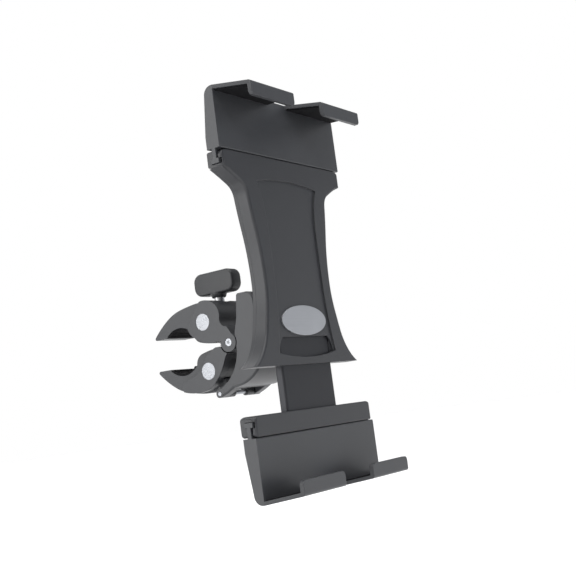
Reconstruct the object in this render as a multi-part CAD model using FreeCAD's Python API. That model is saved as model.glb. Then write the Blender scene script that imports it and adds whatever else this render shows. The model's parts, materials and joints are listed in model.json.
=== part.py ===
import FreeCAD, Part
import math
import os

from FreeCAD import Vector

# A tablet holder that clamps on a pipe. All sizes are in millimetres.
# The origin is the centre of the gripped pipe. X runs along the pipe, Z is up, and the tablet
# faces -Y. The clamp's mouth opens to +Y.

# Pipe clamp
pipe_radius = 13.0            # pipe that the pads close on in the drawn pose
claw_pad = 1.4                # rubber in each claw's groove
pipe_to_pivot = 41.0          # pipe centre to hinge pin
cheek_half = 18.4             # half width across the cheeks and the heel
nose_half = 12.5              # half width across the narrower claw noses
pin_radius = 2.25
pin_dimple = 0.9
pin_fit = 0.05                # radial running clearance on the hinge pin
lug_radius = 5.5              # round ear about the hinge pin
lug_relief = 0.7              # radial room about an ear
tongue_half = 6.0             # half width of the heel's middle knuckle
tongue_neck = 3.4             # half height of the knuckle's root
inner_lug = 5.8               # width of each ear of the lower claw
knuckle_gap = 0.3             # side play between knuckles
inner_face = 1.5              # height of the claws' inner faces off the middle plane
nose_face = 9.5               # height of the nose's flat off the middle plane
nose_reach = 19.0             # end of the nose beyond the pipe centre
crown_rise = 26.6             # highest point of a claw's back
claw_edge = 0.9               # rounding of the nose's outer edges

# Clamp screw and its cross dowels
dowel_reach = 17.3            # hinge pin to dowel, along Y
dowel_rise = 14.4             # dowel above or below the middle plane
dowel_radius = 5.0
dowel_fit = 0.05
dowel_inset = 0.1             # dowel end below the cheek
dowel_flat = 4.0              # flat on a dowel, from its axis
flat_half = 6.2               # half length of that flat
screw_radius = 3.0
screw_fit = 0.05
slot_half_width = 3.5         # screw slot in the claws
slot_half_length = 6.2
pocket_half_width = 5.7       # wider pocket outside the dowel
pocket_half_length = 6.8
washer_radius = 4.6
washer_thickness = 1.0
washer_gap = 0.03
shoulder_radius = 4.5
shoulder_height = 2.5
shoulder_gap = 0.03
screw_tail = 25.6             # screw end below the middle plane
clip_radius = 3.9
clip_thickness = 0.8
clip_inset = 0.5              # screw end beyond the clip

# Wing knob
knob_length = 30.0
knob_width = 9.0
knob_height = 13.7
knob_base = 31.4              # underside of the wings above the middle plane
knob_corner = 5.5
knob_edge = 1.3
boss_radius = 5.0
boss_height = 2.2
screw_in_knob = 9.0

# Heel block behind the hinge
heel_radius = 26.0
heel_depth = 22.0             # hinge pin to the heel's flat back
heel_top = 26.8
heel_top_corner = 6.0
heel_throat = 10.0            # hinge pin to the heel's upright face
heel_edge = 1.0
lock_pin_y = 11.0             # lock pin from the hinge pin, along Y
lock_pin_z = 28.4             # lock pin below the hinge pin
lock_pin_radius = 1.25
lock_eye_radius = 2.3

# Ball joint in the heel
pivot_to_ball = 16.5
ball_radius = 7.5
ball_flat = 7.0               # ball centre to the turned flat at its far end
ball_fit = 0.05
liner_radius = 8.4
liner_half = 2.6
drill_point = 118.0           # degrees across the point of the ball's seat
neck_radius = 3.5
lip_depth = 4.4               # ball centre to the collar's lip
collar_radius = 11.5
collar_proud = 1.2
collar_wall = 2.7             # collar wall at its open end
collar_notch = 2.4

# Swivel plate on the holder's back
ball_to_base = 12.0
base_thickness = 3.7
base_radius = 16.0
base_edge = 1.0
stud_flange_radius = 8.2
stud_flange_thickness = 1.4
stud_washer = 0.4
stud_gap = 0.1
base_screw_circle = 12.2

# Holder body
body_depth = 9.9
cover_thickness = 2.2
cover_gap = 0.3               # joint between the cover and the top rail
body_bottom = -18.5
flange_bottom = 89.4
flange_height = 9.3
flange_half = 57.0
flange_corner = 4.5
tip_half = 51.5               # half width at the flared lower tips
tip_flare = 61.1              # degrees from upright at which the side leaves the lower tip
waist_half = 32.1
waist_height = 28.0
body_edge = 1.6
recess_depth = 0.9
recess_half = 23.5
recess_top = 83.9
recess_top_half = 29.0
recess_crown = 2.5
recess_bottom = -11.8
recess_bottom_half = 27.8
recess_sag = 2.4
window_top = -2.9
window_top_half = 22.0
window_bottom = -12.2
window_bottom_half = 26.2
badge_length = 43.0
badge_height = 17.0
badge_centre = 6.1
badge_thickness = 0.8

# Slide bar and lower rail
bar_half = 24.3
bar_thickness = 5.2
bar_play = 0.3
bar_top = 56.0
bar_corner = 1.2
channel_top = 86.5
rail_top = -43.3
rail_height = 11.0
rail_corner = 3.0
stop_peg_x = 18.0
stop_peg_radius = 1.8
stop_peg_below_top = 6.0
stop_groove_depth = 1.3
slide_in = 24.0               # bar travel into the body
slide_out = 40.0              # bar travel out of the body

# T rails that carry the jaws
slot_depth = 8.0
neck_thickness = 2.5
foot_width = 5.4
foot_height = 2.6
slot_play = 0.2
slot_centre = 4.2             # front plane to the middle of the T slot
seam = 0.4

# Jaws
jaw_half = 58.0
jaw_reach = 31.3              # seam to the pad that touches the tablet's edge
jaw_foot_thickness = 8.5
jaw_head_thickness = 6.0
jaw_shoulder = 7.0
jaw_back_corner = 5.0
arm_length = 22.4
arm_thickness = 2.1
arm_slope = 7.2               # degrees, towards the tablet
hook_inner_root = 8.0
hook_inner_lip = 14.4
hook_outer_lip = 53.3
lip_height = 8.0
lip_thickness = 2.2
lip_corner = 2.5
lip_nose = 1.2                # rounding where an arm turns down into its lip
pad_thickness = 0.6
pad_inset = 1.4

# Screws
cover_screw_radius = 1.5
cover_head_radius = 2.8
cover_screw_x = 28.4
cover_screw_heights = (-8.0, 36.0, 78.0)
cover_screw_depth = 6.0
rail_screw_radius = 1.5
rail_head_radius = 2.5
rail_screw_x = 15.0
rail_screw_depth = 9.0
grub_radius = 2.0
grub_inset = 0.2              # outer end below the surface
brake_gap = 0.05
jaw_grub_x = 40.0
brake_x = 12.0
brake_height = 50.0
base_screw_radius = 1.3
base_head_radius = 2.4

# How far cutting tools and trimming blocks reach past what they cut
past = 60.0

# Places that follow from the sizes above
pivot_y = -pipe_to_pivot
dowel_y = pivot_y + dowel_reach
ball_y = pivot_y - pivot_to_ball
heel_back_y = pivot_y - heel_depth
base_face_y = ball_y - ball_to_base
back_y = base_face_y - base_thickness
cover_y = back_y - cover_thickness
face_y = back_y - body_depth
recess_y = face_y + recess_depth
bar_back_y = cover_y - bar_play
bar_front_y = bar_back_y - bar_thickness
channel_y = bar_front_y - bar_play
slot_y = face_y + slot_centre
flange_top = flange_bottom + flange_height
rail_bottom = rail_top - rail_height
upper_seam_z = flange_top + seam
lower_seam_z = rail_bottom - seam
seat_radius = ball_radius + ball_fit
bore_radius = liner_radius + ball_fit
groove_radius = pipe_radius + claw_pad
groove_half = math.sqrt(groove_radius ** 2 - nose_face ** 2)
lug_split = tongue_half + knuckle_gap + inner_lug + knuckle_gap
peg_z = bar_top - stop_peg_below_top


def side_view(y, z):
    return Vector(0, y, z)


def front_view(x, z):
    return Vector(x, 0, z)


def top_view(x, y):
    return Vector(x, y, 0)


class Outline:
    """A closed flat outline of straight runs, arcs and smooth curves."""

    def __init__(self, view, a, b):
        self.view = view
        self.edges = []
        self.start = view(a, b)
        self.end = self.start

    def add(self, edge, end):
        self.edges.append(edge)
        self.end = end

    def line(self, a, b):
        end = self.view(a, b)
        self.add(Part.makeLine(self.end, end), end)

    def arc(self, middle, end):
        end = self.view(*end)
        self.add(Part.Arc(self.end, self.view(*middle), end).toShape(), end)

    def curve(self, points, heading=None):
        """Arcs through the points, each tangent to the one before. The first may be given a heading."""
        points = [self.view(*point) for point in points]
        if heading:
            heading = self.view(*heading).normalize()
        else:
            first = Part.Arc(self.end, points[0], points[1]).toShape()
            heading = first.tangentAt(first.FirstParameter)
        for point in points:
            chord = point - self.end
            along = Vector(chord).normalize()
            forward = heading.dot(along)
            aside = heading - along * forward
            if aside.Length < 1e-4:
                edge = Part.makeLine(self.end, point)
            else:
                rise = chord.Length / 2 * aside.Length / (1 + forward)
                middle = self.end + chord * 0.5 + aside.normalize() * rise
                edge = Part.Arc(self.end, middle, point).toShape()
            heading = along * (2 * forward) - heading
            self.add(edge, point)

    def face(self):
        if self.end.distanceToPoint(self.start) > 1e-6:
            self.edges.append(Part.makeLine(self.end, self.start))
        return Part.Face(Part.Wire(self.edges))


def polygon(view, points):
    outline = Outline(view, *points[0])
    for point in points[1:]:
        outline.line(*point)
    return outline.face()


def between_x(face, low, high):
    return face.translated(Vector(low, 0, 0)).extrude(Vector(high - low, 0, 0))


def between_y(face, low, high):
    return face.translated(Vector(0, low, 0)).extrude(Vector(0, high - low, 0))


def between_z(face, low, high):
    return face.translated(Vector(0, 0, low)).extrude(Vector(0, 0, high - low))


def block(x0, x1, y0, y1, z0, z1):
    return Part.makeBox(x1 - x0, y1 - y0, z1 - z0, Vector(x0, y0, z0))


def rod_x(radius, y, z, x0, x1):
    return Part.makeCylinder(radius, x1 - x0, Vector(x0, y, z), Vector(1, 0, 0))


def rod_y(radius, x, z, y0, y1):
    return Part.makeCylinder(radius, y1 - y0, Vector(x, y0, z), Vector(0, 1, 0))


def rod_z(radius, x, y, z0, z1):
    return Part.makeCylinder(radius, z1 - z0, Vector(x, y, z0), Vector(0, 0, 1))


def tube(outer, inner):
    return outer.cut(inner)


def mirrored_x(shape):
    return shape.mirror(Vector(0, 0, 0), Vector(1, 0, 0))


def mirrored_z(shape):
    return shape.mirror(Vector(0, 0, 0), Vector(0, 0, 1))


def both_sides(shape):
    return [shape, mirrored_x(shape)]


def joined(shapes):
    whole = shapes[0]
    for shape in shapes[1:]:
        whole = whole.fuse(shape)
    return whole.removeSplitter()


def rounded(shape, radius, wanted):
    edges = [edge for edge in shape.Edges if wanted(edge)]
    return shape.makeFillet(radius, edges)


def chamfered(shape, size, wanted):
    edges = [edge for edge in shape.Edges if wanted(edge)]
    return shape.makeChamfer(size, edges)


def at(value, target):
    return abs(value - target) < 0.01


def lies_at(edge, axis, target):
    return all(at(getattr(vertex.Point, axis), target) for vertex in edge.Vertexes)


def runs_along(edge, axis):
    if len(edge.Vertexes) < 2:
        return False
    ends = [vertex.Point for vertex in edge.Vertexes]
    return at(abs(getattr(ends[1], axis) - getattr(ends[0], axis)), edge.Length)


def sunk_screw(radius, head_radius, x, z, face, depth):
    """Countersunk screw driven along -Y, its head flush with the face at y = face."""
    head = head_radius - radius
    shank = rod_y(radius, x, z, face - depth, face)
    cone = Part.makeCone(radius, head_radius, head, Vector(x, face - head, z), Vector(0, 1, 0))
    return shank.fuse(cone)


# Pipe clamp

def upper_back(outline):
    """The upper claw's back from its crown over the rear corner and down to the hinge ear."""
    outline.curve([
        (pivot_y + 10.0, crown_rise - 1.0),
        (pivot_y + 6.9, crown_rise - 3.2),
        (pivot_y + 4.5, dowel_rise + 0.4),
        (pivot_y + 0.1, 9.5),
    ])
    outline.line(pivot_y - 3.4, 4.0)
    outline.line(pivot_y, 0)


def lower_back(outline):
    """The lower claw's back, a rounder slope down to the hinge ear."""
    outline.curve([
        (pivot_y + 12.5, 21.2),
        (pivot_y + 7.9, 16.0),
        (pivot_y + 4.8, 10.7),
        (pivot_y + 2.2, 6.3),
    ])
    outline.line(pivot_y - 1.0, 3.0)
    outline.line(pivot_y, 0)


def nose_profile(back):
    """Side view between the cheeks: inner face, groove for the pipe, nose and back."""
    outline = Outline(side_view, pivot_y, inner_face)
    outline.line(pivot_y + 12.0, inner_face)
    outline.curve([
        (pivot_y + 20.6, 2.3),
        (pivot_y + 25.4, 3.4),
        (pivot_y + 29.0, 6.0),
        (-groove_half, nose_face),
    ])
    outline.arc((0, groove_radius), (groove_half, nose_face))
    outline.line(nose_reach, nose_face)
    outline.arc((nose_reach + 0.8, nose_face + 0.7), (nose_reach + 0.5, nose_face + 1.8))
    outline.curve([
        (pivot_y + 56.5, 15.1),
        (pivot_y + 48.9, 20.7),
        (pivot_y + 38.4, 24.9),
        (pivot_y + 28.0, crown_rise),
        (pivot_y + 18.0, crown_rise),
    ])
    back(outline)
    return outline.face()


def upper_cheek_profile():
    """Side view of the upper claw's raised cheek, which stops short of the groove."""
    outline = Outline(side_view, pivot_y, inner_face)
    outline.line(pivot_y + 9.6, inner_face)
    outline.curve([(pivot_y + 21.5, 4.0), (pivot_y + 26.4, 7.4), (pivot_y + 29.2, 11.7)])
    outline.curve([(pivot_y + 26.6, 16.0), (pivot_y + 22.5, 22.3), (pivot_y + 18.0, crown_rise)])
    upper_back(outline)
    return outline.face()


def lower_cheek_profile():
    """Mirror side view of the lower claw's cheek, which runs on under the groove."""
    outline = Outline(side_view, pivot_y, inner_face)
    outline.line(pivot_y + 10.0, inner_face)
    outline.curve([
        (pivot_y + 14.1, 3.4),
        (pivot_y + 20.6, 9.7),
        (pivot_y + 31.9, 17.1),
        (pivot_y + 39.7, 21.5),
    ])
    outline.line(pivot_y + 37.4, 24.4)
    outline.curve([(pivot_y + 28.0, crown_rise - 0.6), (pivot_y + 18.0, crown_rise - 1.5)])
    lower_back(outline)
    return outline.face()


def claw_openings():
    """Dowel bore, slot for the screw and the pocket outside the dowel, for the upper claw."""
    bore = rod_x(dowel_radius + dowel_fit, dowel_y, dowel_rise, -cheek_half - 1, cheek_half + 1)
    slot = block(-slot_half_width, slot_half_width, dowel_y - slot_half_length,
                 dowel_y + slot_half_length, -1, crown_rise + 5)
    pocket = block(-pocket_half_width, pocket_half_width, dowel_y - pocket_half_length,
                   dowel_y + pocket_half_length, dowel_rise + dowel_flat - 0.6, crown_rise + 5)
    return [bore, slot, pocket]


def claw_blank(back, cheek_profile):
    """Middle of a claw with its wider cheeks set against both sides."""
    nose = between_x(nose_profile(back), -nose_half, nose_half)
    return joined([nose] + both_sides(between_x(cheek_profile, nose_half, cheek_half)))


def relief_x(x0, x1):
    return rod_x(lug_radius + lug_relief, pivot_y, 0, x0, x1)


def knuckle(profile, x0, x1):
    """Ear about the hinge pin with the web that joins it to its claw."""
    ear = rod_x(lug_radius, pivot_y, 0, x0, x1)
    reach = lug_radius + lug_relief + 0.5
    web = between_x(profile, x0, x1).common(block(x0, x1, pivot_y - past, pivot_y + reach, -reach, reach + 2))
    return ear.fuse(web)


def upper_claw():
    claw = claw_blank(upper_back, upper_cheek_profile())
    claw = claw.cut(relief_x(-cheek_half - 1, cheek_half + 1))
    claw = joined([claw] + both_sides(knuckle(upper_cheek_profile(), lug_split, cheek_half)))
    hole = rod_x(pin_radius + pin_fit, pivot_y, 0, -cheek_half - 1, cheek_half + 1)
    for tool in claw_openings() + [hole]:
        claw = claw.cut(tool)
    return claw


def lower_claw():
    claw = claw_blank(lower_back, lower_cheek_profile())
    claw = claw.cut(relief_x(-cheek_half - 1, cheek_half + 1))
    inner = tongue_half + knuckle_gap
    claw = joined([claw] + both_sides(knuckle(lower_cheek_profile(), inner, inner + inner_lug)))
    hole = rod_x(pin_radius, pivot_y, 0, -cheek_half - 1, cheek_half + 1)
    for tool in claw_openings() + [hole]:
        claw = claw.cut(tool)
    claw = mirrored_z(claw)
    foot = polygon(side_view, [
        (pivot_y + lock_pin_y - 2.0, -lock_pin_z + 0.5),
        (pivot_y + lock_pin_y - 1.0, -lock_pin_z + 8.5),
        (pivot_y + lock_pin_y + 5.5, -lock_pin_z + 7.5),
        (pivot_y + lock_pin_y + 2.0, -lock_pin_z - 0.5),
    ])
    ear_half = nose_half - knuckle_gap
    ear = rod_x(lock_eye_radius, pivot_y + lock_pin_y, -lock_pin_z, -ear_half, ear_half)
    foot = joined([between_x(foot, -ear_half, ear_half), ear])
    foot = foot.cut(block(-pocket_half_width, pocket_half_width, pivot_y - past, pivot_y + past, -past, 0))
    claw = joined([claw, foot])
    return claw.cut(lock_pin_bore())


def claw_pad_strip():
    ring = tube(rod_x(groove_radius, 0, 0, -nose_half + 0.4, nose_half - 0.4),
                rod_x(pipe_radius, 0, 0, -nose_half - 1, nose_half + 1))
    return ring.common(block(-nose_half, nose_half, -groove_radius, groove_radius,
                             nose_face + 0.5, groove_radius + 1))


def pivot_pin():
    end = cheek_half - 0.1
    pin = rod_x(pin_radius, pivot_y, 0, -end, end)
    for side in (-1, 1):
        dimple = Part.makeSphere(pin_dimple, Vector(side * (end + 0.3), pivot_y, 0))
        pin = pin.cut(dimple)
    return pin


def lock_pin_bore():
    return rod_x(lock_pin_radius, pivot_y + lock_pin_y, -lock_pin_z, -past, past)


def lock_pin():
    end = cheek_half - 0.1
    return rod_x(lock_pin_radius, pivot_y + lock_pin_y, -lock_pin_z, -end, end)


def heel_profile():
    """Side view of the heel: flat back, round underside and the throat about the hinge."""
    back = -heel_depth
    low = -math.sqrt(heel_radius ** 2 - heel_depth ** 2)
    middle_angle = math.radians(232)
    outline = Outline(side_view, pivot_y - heel_throat, heel_top)
    outline.line(pivot_y + back + heel_top_corner, heel_top)
    bend = heel_top_corner * (1 - math.sqrt(0.5))
    outline.arc((pivot_y + back + bend, heel_top - bend), (pivot_y + back, heel_top - heel_top_corner))
    outline.line(pivot_y + back, low)
    outline.arc((pivot_y + heel_radius * math.cos(middle_angle), heel_radius * math.sin(middle_angle)),
                (pivot_y, -heel_radius))
    eye_y = pivot_y + lock_pin_y
    outline.curve([(eye_y - 5.5, -lock_pin_z - 0.4), (eye_y, -lock_pin_z - lock_eye_radius)])
    outline.line(eye_y, -lock_pin_z + lock_eye_radius)
    outline.curve([(pivot_y + 2.8, -21.3), (pivot_y - 3.9, -11.8), (pivot_y - lug_radius, -5.0)])
    outline.line(pivot_y - lug_radius, 5.0)
    outline.line(pivot_y - heel_throat + 2.0, 12.8)
    return outline.face()


def ball_pocket():
    """Thread for the collar, bore for the liner and a drilled point that the ball rests on."""
    slope = math.radians(drill_point / 2)
    apex = seat_radius / math.sin(slope)
    deep = apex - bore_radius / math.tan(slope)
    thread = rod_y(collar_radius, 0, 0, heel_back_y - 1, ball_y - 0.3)
    bore = rod_y(bore_radius, 0, 0, ball_y - 0.4, ball_y + deep)
    point = Part.makeCone(bore_radius, 0, apex - deep, Vector(0, ball_y + deep, 0), Vector(0, 1, 0))
    return thread.fuse(bore).fuse(point)


def clamp_heel():
    heel = between_x(heel_profile(), -cheek_half, cheek_half)
    heel = chamfered(heel, heel_edge, is_heel_rim)
    for relief in both_sides(relief_x(tongue_half, cheek_half + 1)):
        heel = heel.cut(relief)
    eye_y = pivot_y + lock_pin_y
    eyes = [rod_x(lock_eye_radius, eye_y, -lock_pin_z, nose_half, cheek_half)]
    eyes += [mirrored_x(eyes[0])]
    heel = joined([heel] + eyes)
    heel = heel.cut(block(-nose_half, nose_half, pivot_y + 1.0, eye_y + past, -past, -lock_pin_z / 2))
    tongue = rod_x(lug_radius, pivot_y, 0, -tongue_half, tongue_half)
    neck = block(-tongue_half, tongue_half, pivot_y - lug_radius - 2, pivot_y, -tongue_neck, tongue_neck)
    heel = joined([heel, tongue, neck])
    for tool in (rod_x(pin_radius, pivot_y, 0, -past, past), lock_pin_bore(), ball_pocket()):
        heel = heel.cut(tool)
    return heel


def is_heel_rim(edge):
    """The side edges of the heel's top, back and round underside."""
    centre = edge.CenterOfMass
    on_side = at(abs(centre.x), cheek_half)
    behind = centre.y < pivot_y - heel_throat - 1.5
    under = centre.z < -heel_radius and not at(centre.y, pivot_y + lock_pin_y)
    return on_side and (behind or under)


def socket_collar():
    """Threaded ring whose lip keeps the ball in, with slots for a pin spanner."""
    front = heel_back_y - collar_proud
    rear = ball_y - 0.3
    lip_y = ball_y - lip_depth
    mouth = collar_radius - collar_wall
    lip = math.sqrt(seat_radius ** 2 - lip_depth ** 2)
    ring = rod_y(collar_radius - 0.02, 0, 0, front, rear)
    ring = ring.cut(rod_y(bore_radius, 0, 0, lip_y, rear + 1))
    opening = Part.makeCone(mouth, lip, lip_y - front, Vector(0, front, 0), Vector(0, 1, 0))
    ring = ring.cut(opening)
    for turn in range(4):
        half = collar_notch / 2
        notch = block(mouth + 0.8, collar_radius + 1, front - 1, front + 0.9, -half, half)
        notch.rotate(Vector(0, 0, 0), Vector(0, 1, 0), 90 * turn + 45)
        ring = ring.cut(notch)
    return ring


def ball_liner():
    """Plastic ring about the ball's middle, round outside so that it tilts in its bore."""
    rim = math.sqrt(liner_radius ** 2 - liner_half ** 2)
    outline = Outline(top_view, seat_radius, ball_y - liner_half)
    outline.line(seat_radius, ball_y + liner_half)
    outline.line(rim, ball_y + liner_half)
    outline.arc((liner_radius, ball_y), (rim, ball_y - liner_half))
    return outline.face().revolve(Vector(0, 0, 0), Vector(0, 1, 0), 360)


def ball_stud():
    flange_back = back_y + stud_gap
    flange_front = flange_back + stud_flange_thickness
    flange = rod_y(stud_flange_radius, 0, 0, flange_back, flange_front)
    neck = rod_y(neck_radius, 0, 0, flange_back, ball_y - 2)
    ball = Part.makeSphere(ball_radius, Vector(0, ball_y, 0))
    ball = ball.cut(block(-10, 10, ball_y + ball_flat, ball_y + 10, -10, 10))
    return joined([ball, neck, flange])


def stud_recess_floor():
    return back_y + stud_gap + stud_flange_thickness + stud_gap + stud_washer


def stud_washer_ring():
    floor = stud_recess_floor()
    return tube(rod_y(stud_flange_radius, 0, 0, floor - stud_washer, floor),
                rod_y(neck_radius + 0.4, 0, 0, floor - 2, floor + 1))


def swivel_base():
    base = rod_y(base_radius, 0, 0, back_y, base_face_y)
    base = chamfered(base, base_edge, lambda edge: lies_at(edge, "y", base_face_y))
    base = base.cut(rod_y(stud_flange_radius + 0.3, 0, 0, back_y - 1, stud_recess_floor()))
    base = base.cut(rod_y(neck_radius + 0.3, 0, 0, back_y - 1, base_face_y + 1))
    for screw in swivel_screws():
        base = base.cut(screw)
    return base


def swivel_screw_places():
    reach = base_screw_circle * math.sqrt(0.5)
    return [(sx * reach, sz * reach) for sx in (-1, 1) for sz in (-1, 1)]


def swivel_screws():
    depth = base_thickness + cover_thickness
    return [sunk_screw(base_screw_radius, base_head_radius, x, z, base_face_y, depth)
            for x, z in swivel_screw_places()]


def dowel(z_side):
    """Cross dowel of one claw: cross hole for the screw, and a flat on its outer side."""
    end = cheek_half - dowel_inset
    z = z_side * dowel_rise
    pin = rod_x(dowel_radius, dowel_y, z, -end, end)
    pin = pin.cut(rod_z(screw_radius + screw_fit, 0, dowel_y, z - 10, z + 10))
    flat = block(-flat_half, flat_half, dowel_y - 10, dowel_y + 10, dowel_rise + dowel_flat, dowel_rise + 10)
    return pin.cut(flat if z_side > 0 else mirrored_z(flat))


def washer_base():
    return dowel_rise + dowel_flat + washer_gap


def thrust_washer():
    base = washer_base()
    return tube(rod_z(washer_radius, 0, dowel_y, base, base + washer_thickness),
                rod_z(screw_radius + 0.1, 0, dowel_y, base - 1, base + washer_thickness + 1))


def clamp_screw():
    shoulder = washer_base() + washer_thickness + shoulder_gap
    shank = rod_z(screw_radius, 0, dowel_y, -screw_tail, knob_base + screw_in_knob)
    collar = rod_z(shoulder_radius, 0, dowel_y, shoulder, shoulder + shoulder_height)
    screw = joined([shank, collar])
    groove = clip_ring(screw_radius - 0.4)
    return screw.cut(groove)


def clip_ring(inner):
    low = -screw_tail + clip_inset
    return tube(rod_z(clip_radius, 0, dowel_y, low, low + clip_thickness),
                rod_z(inner, 0, dowel_y, low - 1, low + clip_thickness + 1))


def end_clip():
    gap = block(-1.6, 1.6, dowel_y, dowel_y + clip_radius + 1, -screw_tail, 0)
    return clip_ring(screw_radius - 0.4).cut(gap)


def knob():
    y0 = dowel_y - knob_length / 2
    y1 = dowel_y + knob_length / 2
    z0 = knob_base
    z1 = knob_base + knob_height
    wings = block(-knob_width / 2, knob_width / 2, y0, y1, z0, z1)
    wings = rounded(wings, knob_corner, lambda edge: runs_along(edge, "x"))
    wings = chamfered(wings, knob_edge, lambda edge: lies_at(edge, "x", edge.CenterOfMass.x))
    boss = Part.makeCone(boss_radius - 0.8, boss_radius, boss_height, Vector(0, dowel_y, z0 - boss_height),
                         Vector(0, 0, 1))
    whole = joined([wings, boss, rod_z(boss_radius, 0, dowel_y, z0 - 0.1, z0 + 1.0)])
    return whole.cut(rod_z(screw_radius, 0, dowel_y, z0 - boss_height - 1, z0 + screw_in_knob))


# Holder body

def mirrored_pair(half):
    """A half drawn on the +X side, joined with its mirror image."""
    return joined([half, mirrored_x(half)])


def half_body():
    """Half of the body's outline: lower tip, waist, flare, and on past the flange's end."""
    beyond = flange_half + 8.0
    outline = Outline(front_view, 0, body_bottom)
    outline.line(tip_half, body_bottom)
    flare = math.radians(tip_flare)
    outline.curve([
        (waist_half + 8.8, waist_height - 36.5),
        (waist_half + 4.6, waist_height - 26.8),
        (waist_half + 1.9, waist_height - 16.0),
        (waist_half, waist_height),
        (waist_half + 2.8, waist_height + 28.0),
        (waist_half + 6.1, flange_bottom - 14.0),
        (waist_half + 10.9, flange_bottom - 7.0),
        (flange_half, flange_bottom),
        (beyond, flange_bottom + 2.6),
    ], (-math.sin(flare), math.cos(flare)))
    outline.line(beyond, flange_top)
    outline.line(0, flange_top)
    return outline.face()


def half_recess():
    """Half of the shallow panel in the front, with a crowned top and a sagging foot."""
    outline = Outline(front_view, 0, recess_bottom - recess_sag)
    outline.curve([
        (recess_bottom_half * 0.6, recess_bottom - recess_sag * 0.64),
        (recess_bottom_half, recess_bottom),
    ])
    outline.curve([
        (recess_half + 1.2, waist_height - 20.0),
        (recess_half, waist_height),
        (recess_half, waist_height + 28.0),
        (recess_half + 1.2, recess_top - 14.0),
        (recess_top_half, recess_top),
    ])
    outline.curve([(recess_top_half * 0.6, recess_top + recess_crown * 0.64), (0, recess_top + recess_crown)])
    return outline.face()


def half_window():
    """Half of the barrel-shaped window that shows the slide bar."""
    outline = Outline(front_view, 0, window_bottom - recess_sag)
    outline.curve([
        (window_bottom_half * 0.6, window_bottom - recess_sag * 0.64),
        (window_bottom_half, window_bottom),
    ])
    outline.curve([(window_bottom_half - 1.0, window_top - 4.2), (window_top_half, window_top)])
    outline.line(0, window_top)
    return outline.face()


def t_slot(top):
    """T slot that runs the whole width, cut down from a rail face at z = top."""
    neck_half = neck_thickness / 2 + slot_play
    foot_half = foot_width / 2 + slot_play
    foot_top = top - slot_depth + foot_height + 2 * slot_play
    long = jaw_half + 5
    neck = block(-long, long, slot_y - neck_half, slot_y + neck_half, top - slot_depth, top + 1)
    foot = block(-long, long, slot_y - foot_half, slot_y + foot_half, top - slot_depth, foot_top)
    return neck.fuse(foot)


def rail_block(half, corner, z0, z1):
    rail = block(-half, half, face_y, back_y, z0, z1)
    rail = rounded(rail, corner, lambda edge: runs_along(edge, "z") and lies_at(edge, "y", face_y))
    return rounded(rail, 0.8, lambda edge: runs_along(edge, "x") and lies_at(edge, "y", back_y))


def channel():
    half = bar_half + bar_play
    return block(-half, half, channel_y, cover_y + 1, body_bottom - 1, channel_top)


def body_shell():
    half = rounded(between_y(half_body(), face_y, cover_y), body_edge, is_front_flank)
    shell = mirrored_pair(half).common(rail_block(flange_half, flange_corner, body_bottom - 1, flange_bottom))
    shell = joined([shell, rail_block(flange_half, flange_corner, flange_bottom, flange_top)])
    shell = shell.cut(channel())
    shell = shell.cut(mirrored_pair(between_y(half_recess(), face_y - 1, recess_y)))
    shell = shell.cut(mirrored_pair(between_y(half_window(), face_y - 1, channel_y + 0.5)))
    shell = shell.cut(t_slot(flange_top))
    for grub in jaw_grubs():
        shell = shell.cut(grub)
    for screw in cover_screws():
        shell = shell.cut(screw)
    return shell


def is_front_flank(edge):
    return lies_at(edge, "y", face_y) and not runs_along(edge, "x") and not runs_along(edge, "z")


def cover_screw_places():
    return [(side * cover_screw_x, z) for side in (-1, 1) for z in cover_screw_heights]


def cover_screws():
    return [sunk_screw(cover_screw_radius, cover_head_radius, x, z, back_y, cover_screw_depth)
            for x, z in cover_screw_places()]


def stop_groove():
    top = peg_z + slide_in + stop_peg_radius + 0.5
    bottom = peg_z - slide_out - stop_peg_radius - 0.5
    half = stop_peg_radius + 0.3
    return block(stop_peg_x - half, stop_peg_x + half, cover_y - 1, cover_y + stop_groove_depth, bottom, top)


def back_cover():
    cover = mirrored_pair(between_y(half_body(), cover_y, back_y))
    top = flange_bottom - cover_gap
    cover = cover.common(block(-flange_half, flange_half, cover_y, back_y, body_bottom, top))
    cover = cover.cut(stop_groove())
    for tool in cover_screws() + swivel_screws() + brake_grubs():
        cover = cover.cut(tool)
    return cover


def badge():
    ellipse = Part.Ellipse(Vector(0, 0, 0), badge_length / 2, badge_height / 2)
    face = Part.Face(Part.Wire([ellipse.toShape()]))
    face.rotate(Vector(0, 0, 0), Vector(1, 0, 0), 90)
    face.translate(Vector(0, 0, badge_centre))
    return between_y(face, recess_y - badge_thickness, recess_y)


def slide_bar():
    bar = block(-bar_half, bar_half, bar_front_y, bar_back_y, rail_top, bar_top)
    bar = rounded(bar, bar_corner, lambda edge: runs_along(edge, "z"))
    bar = bar.cut(rod_y(stop_peg_radius, stop_peg_x, peg_z, bar_front_y + 1.2, bar_back_y + 1))
    for screw in rail_screws():
        bar = bar.cut(screw)
    return bar


def stop_peg():
    return rod_y(stop_peg_radius, stop_peg_x, peg_z, bar_front_y + 1.2, cover_y + stop_groove_depth - 0.3)


def rail_screws():
    floor = rail_bottom + slot_depth
    centre = (bar_front_y + bar_back_y) / 2 - 0.3
    head = rail_head_radius - rail_screw_radius
    screws = []
    for side in (-1, 1):
        foot = Vector(side * rail_screw_x, centre, floor)
        cone = Part.makeCone(rail_head_radius, rail_screw_radius, head, foot, Vector(0, 0, 1))
        screws.append(cone.fuse(Part.makeCylinder(rail_screw_radius, rail_screw_depth, foot)))
    return screws


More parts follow.
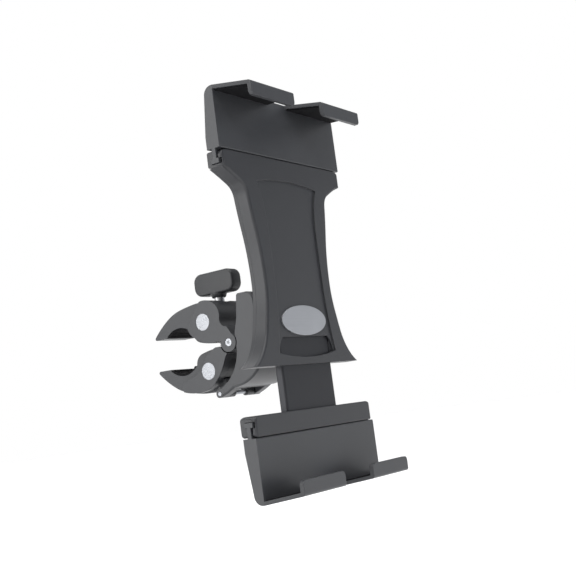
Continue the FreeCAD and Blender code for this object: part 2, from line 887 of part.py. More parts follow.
def lower_rail():
    rail = rail_block(flange_half, rail_corner, rail_bottom, rail_top)
    slot = t_slot(-rail_bottom)
    rail = rail.cut(mirrored_z(slot))
    for tool in rail_screws() + lower_jaw_grubs():
        rail = rail.cut(tool)
    return rail


def grub(x, z, y0, y1):
    return rod_y(grub_radius, x, z, y0, y1)


def jaw_grub_span():
    return slot_y + foot_width / 2, back_y - grub_inset


def foot_centre():
    """Middle of a jaw's T foot, measured from the rail's mouth."""
    return slot_depth - slot_play - foot_height / 2


def jaw_grubs():
    y0, y1 = jaw_grub_span()
    return [grub(side * jaw_grub_x, flange_top - foot_centre(), y0, y1) for side in (-1, 1)]


def lower_jaw_grubs():
    y0, y1 = jaw_grub_span()
    return [grub(side * jaw_grub_x, rail_bottom + foot_centre(), y0, y1) for side in (-1, 1)]


def brake_grubs():
    y0 = bar_back_y + brake_gap
    y1 = back_y - grub_inset
    return [grub(side * brake_x, brake_height, y0, y1) for side in (-1, 1)]


# Jaws, drawn with the seam at z = 0 and the hooks up

def arm_height(y):
    """How far the arm has dropped at y, from its root at the front plane."""
    return (face_y - y) * math.tan(math.radians(arm_slope))


def jaw_profile():
    under = jaw_reach + pad_thickness
    top = under + arm_thickness
    lip_out = face_y - arm_length
    lip_in = lip_out + lip_thickness
    lip_top = top - arm_height(lip_out)
    head_back = face_y + jaw_head_thickness
    foot_back = face_y + jaw_foot_thickness
    bend = jaw_back_corner * (1 - math.sqrt(0.5))
    outline = Outline(side_view, face_y, 0)
    outline.line(face_y, under)
    outline.line(lip_in, under - arm_height(lip_in))
    outline.line(lip_in, lip_top - lip_height)
    outline.line(lip_out, lip_top - lip_height)
    outline.line(lip_out, lip_top - lip_nose)
    over = lip_out + lip_nose
    outline.arc((lip_out + lip_nose * 0.3, lip_top - lip_nose * 0.3), (over, top - arm_height(over)))
    outline.line(face_y, top)
    outline.line(head_back - jaw_back_corner, top)
    outline.arc((head_back - bend, top - bend), (head_back, top - jaw_back_corner))
    outline.line(foot_back, jaw_shoulder)
    outline.line(foot_back, 0)
    return outline.face()


def hook_plan(inner_root, inner_lip, outer_root, outer_lip, y0, y1):
    """Plan of one hook between y0 at its root and y1 at the lip, a tapering tongue."""
    return polygon(top_view, [(inner_root, y0), (outer_root, y0), (outer_lip, y1), (inner_lip, y1)])


def jaw_foot():
    neck = block(-jaw_half, jaw_half, slot_y - neck_thickness / 2, slot_y + neck_thickness / 2,
                 -slot_depth - seam + slot_play + foot_height - 0.1, 0.1)
    foot_low = -slot_depth - seam + slot_play
    foot = block(-jaw_half, jaw_half, slot_y - foot_width / 2, slot_y + foot_width / 2,
                 foot_low, foot_low + foot_height)
    return neck.fuse(foot)


def jaw():
    height = jaw_reach + past
    lip_out = face_y - arm_length
    bar = between_x(jaw_profile(), -jaw_half, jaw_half)
    hook = hook_plan(hook_inner_root, hook_inner_lip, jaw_half, hook_outer_lip, face_y, lip_out)
    hook = between_z(hook, -1, height)
    plate = block(-jaw_half, jaw_half, face_y, face_y + past, -1, height)
    keep = joined([plate] + both_sides(hook))
    bar = bar.common(keep)
    bar = rounded(bar, lip_corner, lambda edge: is_lip_corner(edge))
    return joined([bar, jaw_foot()])


def is_lip_corner(edge):
    lip_out = face_y - arm_length
    lip_low = jaw_reach + pad_thickness + arm_thickness - arm_height(lip_out) - lip_height
    return lies_at(edge, "z", lip_low) and at(edge.BoundBox.YLength, lip_thickness)


def jaw_pads():
    """Rubber liners under each arm and inside each lip."""
    under = jaw_reach + pad_thickness
    lip_in = face_y - arm_length + lip_thickness
    lip_low = under + arm_thickness - arm_height(face_y - arm_length) - lip_height
    section = polygon(side_view, [
        (face_y - 0.3, under - arm_height(face_y - 0.3)),
        (lip_in, under - arm_height(lip_in)),
        (lip_in, lip_low + 1.0),
        (lip_in + pad_thickness, lip_low + 1.0),
        (lip_in + pad_thickness, under - arm_height(lip_in) - pad_thickness),
        (face_y - 0.3, jaw_reach - arm_height(face_y - 0.3)),
    ])
    bar = between_x(section, -jaw_half, jaw_half)
    plan = hook_plan(hook_inner_root + pad_inset, hook_inner_lip + pad_inset, jaw_half - pad_inset,
                     hook_outer_lip - pad_inset, face_y, face_y - arm_length)
    pad = bar.common(between_z(plan, 0, jaw_reach + past))
    return both_sides(pad)


def lifted(shapes, z):
    return [shape.translated(Vector(0, 0, z)) for shape in shapes]


def lowered(shapes, z):
    return [mirrored_z(shape).translated(Vector(0, 0, z)) for shape in shapes]


def all_parts():
    return {
        "upper_jaw": lifted([jaw()], upper_seam_z),
        "lower_jaw": lowered([jaw()], lower_seam_z),
        "upper_jaw_pads": lifted(jaw_pads(), upper_seam_z),
        "lower_jaw_pads": lowered(jaw_pads(), lower_seam_z),
        "upper_jaw_grub_screws": jaw_grubs(),
        "lower_jaw_grub_screws": lower_jaw_grubs(),
        "body_shell": [body_shell()],
        "back_cover": [back_cover()],
        "blank_badge": [badge()],
        "cover_screws": cover_screws(),
        "brake_screws": brake_grubs(),
        "slide_bar": [slide_bar()],
        "stop_peg": [stop_peg()],
        "lower_rail": [lower_rail()],
        "rail_screws": rail_screws(),
        "swivel_base": [swivel_base()],
        "swivel_screws": swivel_screws(),
        "swivel_washer": [stud_washer_ring()],
        "ball_stud": [ball_stud()],
        "ball_liner": [ball_liner()],
        "socket_collar": [socket_collar()],
        "clamp_heel": [clamp_heel()],
        "lower_claw": [lower_claw()],
        "upper_claw": [upper_claw()],
        "lower_claw_pad": [mirrored_z(claw_pad_strip())],
        "upper_claw_pad": [claw_pad_strip()],
        "hinge_pin": [pivot_pin()],
        "lock_pin": [lock_pin()],
        "lower_dowel": [dowel(-1)],
        "upper_dowel": [dowel(1)],
        "clamp_screw": [clamp_screw()],
        "thrust_washer": [thrust_washer()],
        "end_clip": [end_clip()],
        "wing_knob": [knob()],
    }


def write_parts():
    os.makedirs("parts", exist_ok=True)
    for name, shapes in all_parts().items():
        solids = [solid for shape in shapes for solid in shape.Solids]
        whole = solids[0] if len(solids) == 1 else Part.makeCompound(solids)
        print(name, len(solids), round(whole.Volume, 1), whole.isValid())
        whole.exportStep("parts/" + name + ".step")


write_parts()
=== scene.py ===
import json
import math

import bmesh
import bpy
from mathutils import Matrix, Vector
from mathutils.kdtree import KDTree


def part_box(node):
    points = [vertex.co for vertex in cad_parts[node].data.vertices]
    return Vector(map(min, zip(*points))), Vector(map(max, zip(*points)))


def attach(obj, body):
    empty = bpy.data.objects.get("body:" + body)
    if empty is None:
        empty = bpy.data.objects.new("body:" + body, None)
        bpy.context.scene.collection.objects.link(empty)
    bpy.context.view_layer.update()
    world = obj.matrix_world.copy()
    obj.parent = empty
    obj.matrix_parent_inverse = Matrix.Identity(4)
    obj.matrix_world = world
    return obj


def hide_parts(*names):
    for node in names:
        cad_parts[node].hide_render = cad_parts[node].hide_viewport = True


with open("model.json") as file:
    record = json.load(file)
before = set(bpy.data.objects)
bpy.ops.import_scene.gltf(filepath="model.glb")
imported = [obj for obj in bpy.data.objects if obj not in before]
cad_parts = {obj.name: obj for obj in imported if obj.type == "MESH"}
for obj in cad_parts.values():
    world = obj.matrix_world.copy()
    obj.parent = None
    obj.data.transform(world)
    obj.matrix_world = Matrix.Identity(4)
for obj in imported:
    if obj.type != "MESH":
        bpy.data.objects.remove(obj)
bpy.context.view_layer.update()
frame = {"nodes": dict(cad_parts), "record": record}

MM = 0.001


# Shader maths

class Wire:
    """A socket that joins in sums, with its nodes made as the sum is written."""

    def __init__(self, finish, socket):
        self.finish = finish
        self.socket = socket

    def maths(self, operation, first, second=0.0):
        return self.finish.make("ShaderNodeMath", {"operation": operation}, {0: first, 1: second})

    def __add__(self, other):
        return self.maths("ADD", self, other)

    def __radd__(self, other):
        return self.maths("ADD", other, self)

    def __sub__(self, other):
        return self.maths("SUBTRACT", self, other)

    def __rsub__(self, other):
        return self.maths("SUBTRACT", other, self)

    def __mul__(self, other):
        return self.maths("MULTIPLY", self, other)

    def __rmul__(self, other):
        return self.maths("MULTIPLY", other, self)

    def held(self):
        return self.finish.make("ShaderNodeClamp", {}, {"Value": self})


class Graph:
    """A node tree that is built node by node."""

    def __init__(self, tree):
        self.tree = tree

    def make(self, kind, settings, inputs, output=0):
        node = self.tree.nodes.new(kind)
        for name, value in settings.items():
            if name == "stops":
                self.set_stops(node.color_ramp, value)
            else:
                setattr(node, name, value)
        for name, value in inputs.items():
            self.feed(node.inputs[name], value)
        return Wire(self, node.outputs[output])

    def set_stops(self, ramp, stops):
        while len(ramp.elements) < len(stops):
            ramp.elements.new(0.5)
        for element, (position, value) in zip(ramp.elements, stops):
            element.position = position
            element.color = (value, value, value, 1.0)

    def feed(self, socket, value):
        if isinstance(value, Wire):
            self.tree.links.new(value.socket, socket)
        elif isinstance(value, tuple) and len(value) == 3 and socket.type == "RGBA":
            socket.default_value = (*value, 1.0)
        else:
            socket.default_value = value

    def ramp(self, value, stops):
        return self.make("ShaderNodeValToRGB", {"stops": stops}, {"Fac": value})

    def mixed(self, factor, first, second):
        """The Mix node's colour sockets have the numbers 0, 6 and 7, and its colour output is 2."""
        return self.make("ShaderNodeMix", {"data_type": "RGBA"},
                         {0: factor, 6: first, 7: second}, 2)

    def smooth(self, value, low, high):
        return self.make("ShaderNodeMapRange", {"interpolation_type": "SMOOTHSTEP"},
                         {"Value": value, "From Min": low, "From Max": high})

    def dot(self, first, second):
        return self.make("ShaderNodeVectorMath", {"operation": "DOT_PRODUCT"},
                         {0: first, 1: second}, "Value")


class Finish(Graph):
    """A material."""

    def __init__(self, name):
        self.material = bpy.data.materials.new(name)
        self.material.use_nodes = True
        super().__init__(self.material.node_tree)
        self.shader = self.tree.nodes["Principled BSDF"]
        self.place = self.make("ShaderNodeTexCoord", {}, {}, "Object")

    def set(self, **values):
        for name, value in values.items():
            self.feed(self.shader.inputs[name.replace("_", " ")], value)

    def stretched(self, scale):
        return self.make("ShaderNodeMapping", {}, {"Vector": self.place, "Scale": scale})

    def noise(self, scale, detail=2.0, roughness=0.5, place=None):
        return self.make("ShaderNodeTexNoise", {}, {"Vector": place or self.place, "Scale": scale,
                                                    "Detail": detail, "Roughness": roughness})

    def soft_edges(self, radius):
        """The normal of the surface with its sharp edges rounded."""
        return self.make("ShaderNodeBevel", {"samples": 6}, {"Radius": radius})

    def edge_mask(self, rounded):
        true = self.make("ShaderNodeNewGeometry", {}, {}, "Normal")
        return ((1.0 - self.dot(rounded, true)) * 5.0).held()

    def bumped(self, height, distance, strength, normal):
        return self.make("ShaderNodeBump", {}, {"Height": height, "Distance": distance,
                                                "Strength": strength, "Normal": normal})


def satin_paint(name, dark, light, roughness, grain=0.00005, wear=0.35, radius=0.0004):
    """Painted casting: a fine orange peel, slight patches and paint worn thin along the edges."""
    finish = Finish(name)
    rounded = finish.soft_edges(radius)
    patches = finish.noise(28.0, 3.0)
    speckle = finish.noise(2600.0, 2.0)
    peel = finish.noise(900.0, 3.0, 0.6)
    rub = finish.ramp(finish.noise(160.0, 4.0, 0.7), [(0.45, 0.0), (0.62, 1.0)])
    worn = finish.edge_mask(rounded) * (0.35 + rub * 0.65) * wear
    tone = finish.mixed((patches * 0.7 + speckle * 0.3).held(), dark, light)
    bare = tuple(min(1.0, 2.6 * value + 0.03) for value in light)
    colour = finish.mixed(worn, tone, bare)
    matt = (roughness + patches * 0.10 - worn * 0.10 + speckle * 0.05).held()
    finish.set(Base_Color=colour, Roughness=matt,
               Normal=finish.bumped(peel * 0.6 + speckle * 0.4, grain, 0.6, rounded))
    finish.set(Specular_IOR_Level=0.5, IOR=1.5)
    return finish.material


def rubber(name, tone):
    finish = Finish(name)
    rounded = finish.soft_edges(0.0003)
    dust = finish.ramp(finish.noise(300.0, 5.0, 0.7), [(0.5, 0.0), (0.75, 1.0)])
    grain = finish.noise(3200.0, 2.0)
    pale = tuple(2.2 * value + 0.012 for value in tone)
    finish.set(Base_Color=finish.mixed(dust * 0.4, tone, pale),
               Roughness=(0.80 + dust * 0.12).held(),
               Normal=finish.bumped(grain, 0.00006, 0.7, rounded))
    finish.set(Specular_IOR_Level=0.12)
    return finish.material


def brushed(name, tone, roughness, stretch, radius=0.0003):
    """Metal with fine lines along its length and a few deeper scratches."""
    finish = Finish(name)
    rounded = finish.soft_edges(radius)
    lines = finish.noise(1.0, 4.0, 0.65, finish.stretched(stretch))
    patches = finish.noise(90.0, 3.0)
    dark = tuple(0.72 * value for value in tone)
    colour = finish.mixed((lines * 0.6 + patches * 0.4).held(), dark, tone)
    finish.set(Base_Color=colour, Roughness=(roughness + lines * 0.16 + patches * 0.06).held(),
               Normal=finish.bumped(lines, 0.00002, 0.5, rounded))
    finish.set(Metallic=1.0)
    return finish.material


def polished(name, tone, roughness):
    """Bright pin and dowel ends: turned rings too fine to see and a haze of handling."""
    finish = Finish(name)
    rounded = finish.soft_edges(0.0003)
    haze = finish.ramp(finish.noise(420.0, 5.0, 0.7), [(0.42, 0.0), (0.72, 1.0)])
    rings = finish.noise(5200.0, 2.0)
    dull = tuple(0.8 * value for value in tone)
    finish.set(Base_Color=finish.mixed(haze * 0.5, tone, dull),
               Roughness=(roughness + haze * 0.14).held(),
               Normal=finish.bumped(rings, 0.000004, 0.12, rounded))
    finish.set(Metallic=1.0)
    return finish.material


def moulded(name, dark, light, roughness):
    """Moulded plastic with a fine spark-eroded texture."""
    finish = Finish(name)
    rounded = finish.soft_edges(0.0004)
    texture = finish.noise(2100.0, 3.0, 0.6)
    patches = finish.noise(60.0, 2.0)
    finish.set(Base_Color=finish.mixed(patches, dark, light),
               Roughness=(roughness + texture * 0.12).held(),
               Normal=finish.bumped(texture, 0.00005, 0.6, rounded))
    finish.set(Specular_IOR_Level=0.45)
    return finish.material


casting = satin_paint("charcoal_casting", (0.026, 0.027, 0.030), (0.036, 0.038, 0.042), 0.36,
                      wear=0.12)
body_finish = satin_paint("charcoal_body", (0.017, 0.018, 0.020), (0.026, 0.027, 0.031), 0.38,
                          wear=0.2)
pad_rubber = rubber("black_rubber", (0.006, 0.006, 0.007))
bar_finish = brushed("brushed_bar", (0.055, 0.056, 0.060), 0.36, (900.0, 900.0, 18.0))
steel = brushed("steel", (0.56, 0.56, 0.57), 0.26, (300.0, 300.0, 2200.0))
bright = polished("bright_pins", (0.33, 0.34, 0.36), 0.26)
black_oxide = satin_paint("black_oxide", (0.016, 0.016, 0.018), (0.026, 0.026, 0.028), 0.34,
                          grain=0.00001, wear=0.5, radius=0.0002)
badge_finish = brushed("badge_plate", (0.47, 0.48, 0.50), 0.36, (40.0, 900.0, 1600.0))
liner = moulded("liner_plastic", (0.60, 0.59, 0.54), (0.66, 0.65, 0.60), 0.5)
knob_finish = moulded("knob_plastic", (0.020, 0.021, 0.023), (0.028, 0.029, 0.032), 0.40)

finishes = {
    "cast_paint": casting,
    "body_paint": body_finish,
    "badge_metal": badge_finish,
    "pad_rubber": pad_rubber,
    "bar_metal": bar_finish,
    "steel": steel,
    "black_screw": black_oxide,
    "bright_steel": bright,
    "liner_plastic": liner,
    "knob_plastic": knob_finish,
}

for part in frame["record"]["subparts"]:
    node = frame["nodes"][part["node"]]
    node.data.materials.clear()
    node.data.materials.append(finishes[part["material_slot"]])


# Meshes, drawn in millimetres in the frame of the solids

X = Vector((1.0, 0.0, 0.0))
Y = Vector((0.0, 1.0, 0.0))
Z = Vector((0.0, 0.0, 1.0))
FACETS = 48                 # flats round a turned piece
THREAD_FACETS = 32          # flats round one turn of a thread
SOCKET_MOUTH = 0.15         # chamfer at the mouth of a hexagon socket


def side_of(axis):
    """A direction square to an axis, and the one square to both."""
    first = Z if abs(axis.x) > 0.5 else X
    return first, axis.cross(first)


def turned(work, centre, axis, profile):
    """Spins a profile of (radius, distance along the axis) once round the axis."""
    out, _ = side_of(axis)
    rim = [work.verts.new(centre + axis * along + out * radius) for radius, along in profile]
    edges = [work.edges.new(pair) for pair in zip(rim, rim[1:])]
    bmesh.ops.spin(work, geom=rim + edges, cent=centre, axis=axis, angle=math.tau,
                   steps=FACETS, use_merge=True)


def threaded(work, centre, axis, outer, pitch, low, high):
    """A V thread between two distances along the axis, one pitch to a turn."""
    out, _ = side_of(axis)
    root = outer - 0.55 * pitch
    ridge = [(root, 0.0), (root, 0.12), (outer, 0.44), (outer, 0.56), (root, 0.88), (root, 1.0)]
    rim = [work.verts.new(centre + axis * (low + step * pitch) + out * radius)
           for radius, step in ridge]
    edges = [work.edges.new(pair) for pair in zip(rim, rim[1:])]
    turns = int((high - low) / pitch)
    bmesh.ops.spin(work, geom=rim + edges, cent=centre, axis=axis,
                   dvec=axis * (pitch / THREAD_FACETS),
                   angle=math.tau * turns, steps=THREAD_FACETS * turns)


def ring_of(work, centre, axis, radius):
    """A circle of points round the axis."""
    first, second = side_of(axis)
    angles = [math.tau * step / FACETS for step in range(FACETS)]
    return [work.verts.new(centre + first * (radius * math.cos(angle))
                           + second * (radius * math.sin(angle))) for angle in angles]


def walled(work, low, high):
    """Joins two loops of as many points by a band of faces."""
    count = len(low)
    for step in range(count):
        after = (step + 1) % count
        work.faces.new((low[step], low[after], high[after], high[step]))


def socket_head(work, centre, axis, radius, across, depth, bevel):
    """The face of a screw with a hexagon socket, looking along the axis."""
    corner = across / math.sqrt(3.0)
    outer = ring_of(work, centre - axis * bevel, axis, radius)
    face = ring_of(work, centre, axis, radius - bevel)
    mouth = ring_of(work, centre, axis, corner + SOCKET_MOUTH)
    walled(work, outer, face)
    walled(work, face, mouth)
    hexagon = []
    first, second = side_of(axis)
    for step in range(FACETS):
        angle = math.tau * step / FACETS
        local = (angle + math.pi / 6) % (math.pi / 3) - math.pi / 6
        reach = corner * math.cos(math.pi / 6) / math.cos(local)
        hexagon.append((first * math.cos(angle) + second * math.sin(angle)) * reach)
    top = [work.verts.new(centre - axis * SOCKET_MOUTH + place) for place in hexagon]
    foot = [work.verts.new(centre - axis * depth + place) for place in hexagon]
    walled(work, mouth, top)
    walled(work, top, foot)
    work.faces.new(foot)


def finished(name, work, material, body, node, smooth=40.0):
    """Turns the mesh into an object in metres that rides on its body."""
    bmesh.ops.remove_doubles(work, verts=work.verts, dist=0.0005)
    bmesh.ops.recalc_face_normals(work, faces=work.faces)
    bmesh.ops.scale(work, vec=(MM, MM, MM), verts=work.verts)
    mesh = bpy.data.meshes.new(name)
    for face in work.faces:
        face.smooth = True
    work.to_mesh(mesh)
    work.free()
    mesh.set_sharp_from_angle(angle=math.radians(smooth))
    mesh.materials.append(material)
    piece = bpy.data.objects.new(name, mesh)
    bpy.context.scene.collection.objects.link(piece)
    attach(piece, body)
    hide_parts(node)
    return piece


# Places that the solids have, in millimetres

DOWEL_Y = -23.7
BACK_Y = -73.2
BASE_Y = -69.5
FACE_Y = -83.1
SLOT_Y = -80.35
FLANGE_HALF = 57.0
FLANGE_TOP = 98.7
RAIL_TOP = -43.3
RAIL_BOTTOM = -54.3
SEAM = 0.4
EDGE = 1.6
SOCKET_DEPTH = 1.3
COVER_SCREW_X = 28.4
COVER_SCREW_HEIGHTS = (-8.0, 36.0, 78.0)
SWIVEL_SCREW_CIRCLE = 12.2
BRAKE_SCREW_X = 12.0
BRAKE_SCREW_Z = 50.0
GRUB_SCREW_X = 40.0
GRUB_SCREW_DROP = 6.5       # from a rail's seam to the grub screws of the jaw in it
KNOB_BASE = 31.4


def sunk_screw(work, place, radius, head, depth, across):
    """Countersunk screw driven along -Y into the back."""
    centre = Vector(place)
    rim = 0.12
    socket_head(work, centre, Y, head, across, SOCKET_DEPTH, rim)
    turned(work, centre, Y, [(head, -rim), (radius, radius - head), (radius, -depth),
                             (0.0, -depth)])


def screws():
    work = bmesh.new()
    for side in (-1, 1):
        for height in COVER_SCREW_HEIGHTS:
            sunk_screw(work, (side * COVER_SCREW_X, BACK_Y, height),
                       radius=1.5, head=2.8, depth=6.0, across=2.2)
    finished("cover_screws_drawn", work, black_oxide, "holder_body", "cover_screws")
    work = bmesh.new()
    reach = SWIVEL_SCREW_CIRCLE * math.sqrt(0.5)
    for side in (-1, 1):
        for height in (-reach, reach):
            sunk_screw(work, (side * reach, BASE_Y, height),
                       radius=1.3, head=2.4, depth=5.9, across=2.0)
    finished("swivel_screws_drawn", work, black_oxide, "holder_body", "swivel_screws")


def grub_screws(name, node, body, places):
    """Grub screws with a hexagon socket, one object for each set."""
    low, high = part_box(node)
    back = high[1] / MM
    length = (high[1] - low[1]) / MM
    radius, rim = 2.0, 0.3
    work = bmesh.new()
    for x, z in places:
        centre = Vector((x, back, z))
        socket_head(work, centre, Y, radius, 2.0, SOCKET_DEPTH, rim)
        turned(work, centre, Y, [(radius, -rim), (radius, 0.4 - length), (1.5, -length),
                                 (0.0, -length)])
    finished(name, work, black_oxide, body, node)


def clamp_screw():
    """The long screw: rolled thread, end groove, shoulder and plain neck into the knob."""
    low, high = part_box("clamp_screw")
    foot, top = low[2] / MM, high[2] / MM
    centre = Vector((0.0, DOWEL_Y, 0.0))
    work = bmesh.new()
    thread_start, neck = foot + 1.35, foot + 39.3
    outer, root = 3.0, 2.44
    under, over = 19.46, 21.96      # the shoulder's two faces
    turned(work, centre, Z, [(0.0, foot), (2.4, foot), (2.8, foot + 0.3), (2.8, foot + 0.5),
                             (2.6, foot + 0.5), (2.6, foot + 1.3), (root, thread_start)])
    threaded(work, centre, Z, outer, 1.0, thread_start, foot + 39.5)
    turned(work, centre, Z, [(root, neck), (outer, neck + 0.5), (outer, under), (4.2, under),
                             (4.5, 19.76), (4.5, 21.56), (4.2, over), (outer, over),
                             (outer, top), (0.0, top)])
    bmesh.ops.remove_doubles(work, verts=work.verts, dist=0.0005)
    bmesh.ops.holes_fill(work, edges=[edge for edge in work.edges if edge.is_boundary], sides=0)
    finished("clamp_screw_drawn", work, steel, "screw_body", "clamp_screw")


def wing_knob():
    """Moulded wing with well rounded rims, and a waisted boss."""
    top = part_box("wing_knob")[1][2] / MM
    thickness, length, corner, rim = 9.0, 30.0, 5.2, 1.3
    centre = Vector((0.0, DOWEL_Y, (KNOB_BASE + top) / 2))
    size = Matrix.Diagonal((thickness, length, top - KNOB_BASE, 1.0))
    work = bmesh.new()
    bmesh.ops.create_cube(work, size=1.0, matrix=Matrix.Translation(centre) @ size)
    corners = [edge for edge in work.edges
               if abs(edge.verts[0].co.x - edge.verts[1].co.x) > thickness / 2]
    bmesh.ops.bevel(work, geom=corners, offset=corner, offset_type="OFFSET", segments=8,
                    profile=0.5, affect="EDGES", material=-1)
    rims = [edge for edge in work.edges if edge.calc_face_angle(0.0) > 1.0]
    bmesh.ops.bevel(work, geom=rims, offset=rim, offset_type="OFFSET", segments=6,
                    profile=0.5, affect="EDGES", material=-1)
    boss = Vector((0.0, DOWEL_Y, KNOB_BASE))
    turned(work, boss, Z, [(0.0, -2.2), (3.9, -2.2), (4.2, -1.9), (4.75, -0.6), (5.0, 0.3),
                           (5.0, 1.0), (0.0, 1.0)])
    finished("wing_knob_drawn", work, knob_finish, "screw_body", "wing_knob")


def ribbed_pad(name, node, body, side):
    """Rubber strip in a claw's groove, with ribs along the pipe."""
    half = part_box(node)[1][0] / MM
    inner, outer, nose = 13.0, 14.4, 10.0
    back, valley = outer - 0.02, inner + 0.45
    reach = math.acos(nose / outer) * 0.97
    ribs, arc_steps = 9, 12
    arc = [(back, reach - 2 * reach * step / arc_steps) for step in range(1, arc_steps)]
    section = [(back, reach)] + arc + [(back, -reach)]
    for rib in range(ribs):
        start = -reach + 2 * reach * rib / ribs
        wide = 2 * reach / ribs
        section += [(valley, start + wide * 0.06), (inner, start + wide * 0.24),
                    (inner, start + wide * 0.76), (valley, start + wide * 0.94)]
    work = bmesh.new()
    rim = [work.verts.new((-half, radius * math.sin(angle), side * radius * math.cos(angle)))
           for radius, angle in section]
    drawn = bmesh.ops.extrude_face_region(work, geom=[work.faces.new(rim)])["geom"]
    far_end = [part for part in drawn if isinstance(part, bmesh.types.BMVert)]
    bmesh.ops.translate(work, verts=far_end, vec=X * (2 * half))
    finished(name, work, pad_rubber, body, node, 30.0)


def copied(node):
    """A node's own mesh in millimetres, joined up, with no lines across its flat faces."""
    work = bmesh.new()
    work.from_mesh(frame["nodes"][node].data)
    bmesh.ops.scale(work, vec=(1 / MM, 1 / MM, 1 / MM), verts=work.verts)
    bmesh.ops.remove_doubles(work, verts=work.verts, dist=0.002)
    bmesh.ops.dissolve_limit(work, angle_limit=math.radians(0.03), verts=work.verts,
                             edges=work.edges)
    return work


def sharper_corners(work, low, radius):
    """Brings the upright front corners of a rail from its own radius to EDGE, above a height."""
    for vert in work.verts:
        side = math.copysign(1.0, vert.co.x)
        along = side * vert.co.x - (FLANGE_HALF - radius)
        deep = vert.co.y - (FACE_Y + radius)
        on_corner = abs(math.hypot(along, deep) - radius) <= 0.03
        if vert.co.z < low or along < 0.0 or deep > 0.0 or not on_corner:
            continue
        if vert.co.y > SLOT_Y - 0.02:
            vert.co.x = side * FLANGE_HALF
        else:
            vert.co.x = side * (FLANGE_HALF - EDGE + EDGE * along / radius)
            vert.co.y = FACE_Y + EDGE + EDGE * deep / radius


def eased(work, height, width):
    """Breaks the front edge of a piece where it meets its neighbour at a seam."""
    rim = [edge for edge in work.edges
           if all(abs(vert.co.z - height) < 0.01 for vert in edge.verts)
           and all(vert.co.y < SLOT_Y + 0.01 for vert in edge.verts)
           and min(vert.co.y for vert in edge.verts) < SLOT_Y - 0.05
           and edge.calc_face_angle(0.0) > 1.2]
    bmesh.ops.bevel(work, geom=rim, offset=width, offset_type="OFFSET", segments=2,
                    profile=0.5, affect="EDGES", material=-1)


def rounded_ends(work, height, across, drop, way, behind):
    """Curves the ends of a rail's top or bottom edge over, and less so behind its slot."""
    start = FLANGE_HALF - across
    cuts, margin = 7, 1.2
    for side in (-1, 1):
        for step in range(cuts):
            x = side * (start + across * math.sin(math.pi / 14 * step))
            near = [face for face in work.faces
                    if any(abs(vert.co.z - height) < margin for vert in face.verts)]
            parts = near + list({edge for face in near for edge in face.edges})
            parts += list({vert for face in near for vert in face.verts})
            bmesh.ops.bisect_plane(work, geom=parts, dist=0.0005, plane_co=(x, 0.0, 0.0),
                                   plane_no=X)
    for vert in work.verts:
        beyond = (abs(vert.co.x) - start) / across
        if abs(vert.co.z - height) < margin and beyond > 0.0:
            share = 1.0 if vert.co.y < SLOT_Y + 0.01 else behind
            vert.co.z += way * drop * share * (1.0 - math.sqrt(max(0.0, 1.0 - beyond * beyond)))


def dressed_copy(name, work, material, body, node):
    """Finishes a copied mesh, shaded as the node's own surfaces are, its flat faces flat."""
    mesh = finished(name, work, material, body, node, 42.0).data
    own = frame["nodes"][node].data
    known = KDTree(len(own.loops))
    for index, corner in enumerate(own.loops):
        known.insert(own.vertices[corner.vertex_index].co, index)
    known.balance()
    same_place, same_way, large_face = 2e-6, 0.75, 3.0 * MM * MM
    at_vert = [[own.corner_normals[index].vector
                for _, index, _ in known.find_range(vert.co, same_place)]
               for vert in mesh.vertices]
    shading = []
    for face in mesh.polygons:
        for corner in face.loop_indices:
            fitting = [way for way in at_vert[mesh.loops[corner].vertex_index]
                       if way.dot(face.normal) > same_way]
            if fitting:
                shading.append(max(fitting, key=face.normal.dot))
            elif face.area > large_face:
                shading.append(face.normal)
            else:
                shading.append(mesh.corner_normals[corner].vector)
    mesh.normals_split_custom_set([tuple(way) for way in shading])


def body_and_rail():
    """The body's flange and the lower rail, with the corners of their ends worked."""
    work = copied("body_shell")
    sharper_corners(work, 87.0, 4.5)
    eased(work, FLANGE_TOP, 0.5)
    rounded_ends(work, FLANGE_TOP, 5.0, 3.2, -1, 0.3)
    dressed_copy("body_shell_drawn", work, body_finish, "holder_body", "body_shell")
    work = copied("lower_rail")
    sharper_corners(work, -60.0, 3.0)
    eased(work, RAIL_BOTTOM, 0.5)
    eased(work, RAIL_TOP, 0.4)
    rounded_ends(work, RAIL_TOP, 4.5, 2.8, -1, 0.5)
    rounded_ends(work, RAIL_BOTTOM, 1.6, 1.5, 1, 0.8)
    dressed_copy("lower_rail_drawn", work, body_finish, "slide_body", "lower_rail")


def jaws():
    """The two jaws with the edge along their seam broken."""
    for name, height, body in (("upper_jaw", FLANGE_TOP + SEAM, "holder_body"),
                               ("lower_jaw", RAIL_BOTTOM - SEAM, "slide_body")):
        work = copied(name)
        eased(work, height, 0.5)
        hooks = [edge for edge in work.edges
                 if max(vert.co.y for vert in edge.verts) < FACE_Y + 0.01
                 and min(vert.co.y for vert in edge.verts) < FACE_Y - 1.0 and edge.is_convex
                 and math.radians(60.0) < edge.calc_face_angle(0.0) < math.radians(95.0)]
        bmesh.ops.bevel(work, geom=hooks, offset=0.35, offset_type="OFFSET", segments=2,
                        profile=0.5, affect="EDGES", material=-1, clamp_overlap=True)
        dressed_copy(name + "_drawn", work, casting, body, name)


def pair_at(x, z):
    """Places of two screws, one each side of the middle."""
    return [(-x, z), (x, z)]


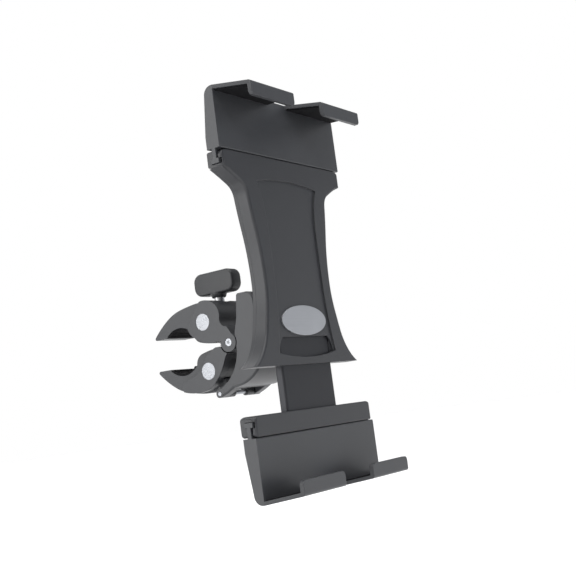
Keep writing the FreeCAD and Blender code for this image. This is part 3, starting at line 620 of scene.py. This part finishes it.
screws()
grub_screws("brake_screws_drawn", "brake_screws", "holder_body",
            pair_at(BRAKE_SCREW_X, BRAKE_SCREW_Z))
grub_screws("upper_grubs_drawn", "upper_jaw_grub_screws", "holder_body",
            pair_at(GRUB_SCREW_X, FLANGE_TOP - GRUB_SCREW_DROP))
grub_screws("lower_grubs_drawn", "lower_jaw_grub_screws", "slide_body",
            pair_at(GRUB_SCREW_X, RAIL_BOTTOM + GRUB_SCREW_DROP))
clamp_screw()
wing_knob()
body_and_rail()
jaws()
ribbed_pad("upper_pad_drawn", "upper_claw_pad", "upper_claw_body", 1.0)
ribbed_pad("lower_pad_drawn", "lower_claw_pad", "clamp_base", -1.0)


# Camera, floor and light

def camera():
    """The photograph's view."""
    sensor, focal_pixels, frame_pixels = 36.0, 996.6, 576.0
    data = bpy.data.cameras.new("view")
    data.sensor_width = sensor
    data.lens = sensor * focal_pixels / frame_pixels
    data.clip_start = 0.01
    view = bpy.data.objects.new("view", data)
    right = Vector((0.58017, -0.80396, -0.13057))
    up = Vector((-0.02251, -0.17607, 0.98412))
    back = Vector((-0.81418, -0.56802, -0.12025))
    turn = Matrix((right, up, back)).transposed().to_4x4()
    view.matrix_world = Matrix.Translation(Vector((-463.42, -397.84, -42.42)) * MM) @ turn
    bpy.context.scene.collection.objects.link(view)
    bpy.context.scene.camera = view


def floor():
    mesh = bpy.data.meshes.new("floor")
    work = bmesh.new()
    height, half = -0.17, 6.0
    bmesh.ops.create_grid(work, x_segments=1, y_segments=1, size=half)
    bmesh.ops.translate(work, verts=work.verts, vec=(0, 0, height))
    work.to_mesh(mesh)
    work.free()
    ground = bpy.data.objects.new("floor", mesh)
    bpy.context.scene.collection.objects.link(ground)
    finish = Finish("pale_floor")
    cloud = finish.noise(1.5, 2.0)
    finish.set(Base_Color=finish.mixed(cloud, (0.86, 0.86, 0.87), (0.90, 0.90, 0.90)),
               Roughness=0.75)
    mesh.materials.append(finish.material)


def soft_light(name, place, target, size, power):
    data = bpy.data.lights.new(name, "AREA")
    data.shape = "RECTANGLE"
    data.size = size[0]
    data.size_y = size[1]
    data.energy = power
    lamp = bpy.data.objects.new(name, data)
    lamp.location = place
    lamp.rotation_euler = (Vector(target) - Vector(place)).to_track_quat("-Z", "Y").to_euler()
    bpy.context.scene.collection.objects.link(lamp)


def surroundings():
    """White all round, with soft cards in front, to the left and over the far side.

    The cards are seen only in reflections and shade: the background itself stays white."""
    world = bpy.data.worlds.new("studio")
    world.use_nodes = True
    graph = Graph(world.node_tree)
    way = graph.make("ShaderNodeTexCoord", {}, {}, "Generated")
    white = (1.0, 1.0, 1.0)
    light = white
    for towards, near, far, tone in (((0.35, -0.93, 0.10), 0.62, 0.92, (0.21, 0.24, 0.30)),
                                     ((-0.59, -0.78, 0.18), 0.80, 0.95, (0.10, 0.10, 0.11)),
                                     ((0.78, 0.18, 0.59), 0.80, 0.96, (0.16, 0.16, 0.17))):
        card = graph.smooth(graph.dot(way, towards), near, far)
        light = graph.mixed(card, light, tone)
    seen = graph.make("ShaderNodeLightPath", {}, {}, "Is Camera Ray")
    background = world.node_tree.nodes["Background"]
    graph.feed(background.inputs["Color"], graph.mixed(seen, light, white))
    bpy.context.scene.world = world
    soft_light("key", (-0.9, -0.8, 1.2), (0, -0.06, 0.02), (0.5, 0.5), 9.0)
    soft_light("side", (-1.2, 0.6, 0.2), (0, -0.06, 0.02), (0.25, 1.2), 8.0)
    soft_light("low", (0.7, -1.0, -0.12), (0, -0.08, -0.07), (0.5, 0.25), 0.6)
    soft_light("behind", (0.7, 1.1, 0.8), (0, -0.03, 0.02), (0.6, 0.6), 7.0)
    sky = bpy.data.lights.new("overhead", "SUN")
    sky.energy = 1.45
    sky.angle = 1.0
    lamp = bpy.data.objects.new("overhead", sky)
    lamp.rotation_euler = (0.25, 0.15, 0.0)
    bpy.context.scene.collection.objects.link(lamp)
    bpy.context.scene.view_settings.view_transform = "Standard"


camera()
floor()
surroundings()
